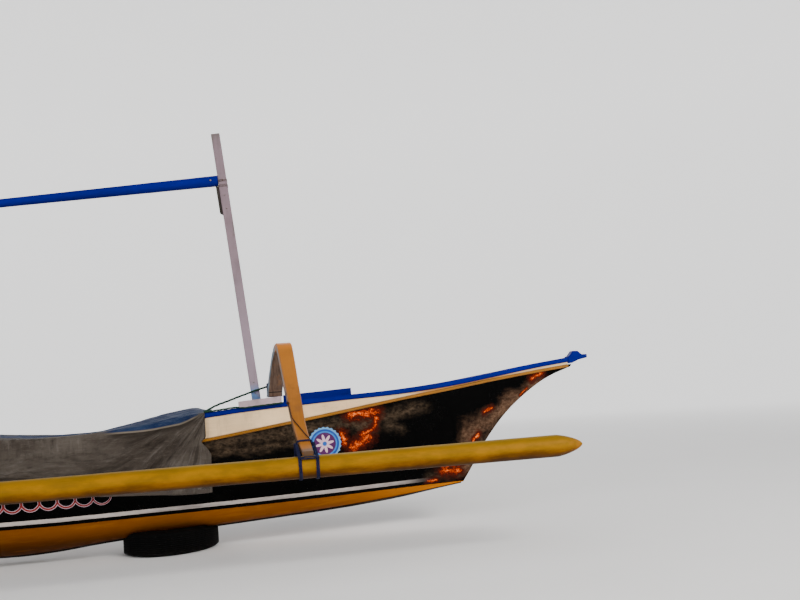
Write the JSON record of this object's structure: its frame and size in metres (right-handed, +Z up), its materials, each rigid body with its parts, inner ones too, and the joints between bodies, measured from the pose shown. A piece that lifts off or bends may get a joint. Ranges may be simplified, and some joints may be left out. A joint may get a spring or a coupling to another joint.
{
  "type": "outrigger canoe",
  "caption": "Dugout fishing canoe with arch arms, bamboo floats on both sides, a raked post and ridge pole, and a tarpaulin over its cockpit, parked on two tyres.",
  "frame": {"origin": "on the floor under the middle of the hull, at the underside of the two tyres", "axes": "+X towards the bow, +Y to port, +Z up"},
  "size_m": [6.88, 2.6202, 2.6755],
  "materials": {
    "black_hull": "dark weathered paint over a dugout log",
    "dark_wood": "dark worn wood",
    "cream_paint": "worn cream paint",
    "yellow_paint": "worn yellow paint",
    "blue_paint": "satin blue paint",
    "orange_paint": "worn orange-yellow paint",
    "white_paint": "worn white paint",
    "navy_paint": "dark blue paint",
    "lilac_paint": "worn pinkish white paint",
    "float_paint": "yellow paint on bamboo",
    "bare_wood": "bare weathered wood",
    "lashing_rope": "dark blue rope",
    "tarp_sheet": "grey and blue woven plastic sheet",
    "tyre_rubber": "old matt rubber"
  },
  "bodies": {
    "canoe": {"hull_log": "black_hull", "keel_batten": "dark_wood", "wash_strake_starboard": "cream_paint", "wash_strake_port": "cream_paint", "rub_rail_starboard": "yellow_paint", "rub_rail_port": "yellow_paint", "gunwale_cap_starboard": "blue_paint", "gunwale_cap_port": "blue_paint", "foredeck": "blue_paint", "bridge_deck": "blue_paint", "afterdeck": "blue_paint", "hatch_board": "blue_paint", "helm_thwart": "bare_wood", "bow_head": "blue_paint", "stern_head": "blue_paint", "float_starboard": "float_paint", "float_port": "float_paint", "front_pad_starboard": "white_paint", "front_arm_starboard": "orange_paint", "front_lashing_starboard": "lashing_rope", "front_pad_port": "white_paint", "front_arm_port": "orange_paint", "front_lashing_port": "lashing_rope", "front_cross_beam": "navy_paint", "rear_pad_starboard": "white_paint", "rear_arm_starboard": "orange_paint", "rear_lashing_starboard": "lashing_rope", "rear_pad_port": "white_paint", "rear_arm_port": "orange_paint", "rear_lashing_port": "lashing_rope", "rear_cross_beam": "navy_paint", "fore_post": "lilac_paint", "ridge_pole": "blue_paint", "pole_chock": "dark_wood", "aft_crutch": "lilac_paint", "tarpaulin": "tarp_sheet", "fore_tyre": "tyre_rubber", "aft_tyre": "tyre_rubber", "rudder_beam": "white_paint"},
    "rudder": {"rudder": "white_paint", "tiller": "bare_wood"}
  },
  "joints": [
    {"name": "steering", "type": "hinge", "parent": "canoe", "child": "rudder", "pos_m": [-2.09, -0.372, 0.95], "axis": [0, 0, 1], "range_deg": [-35, 35]}
  ]
}
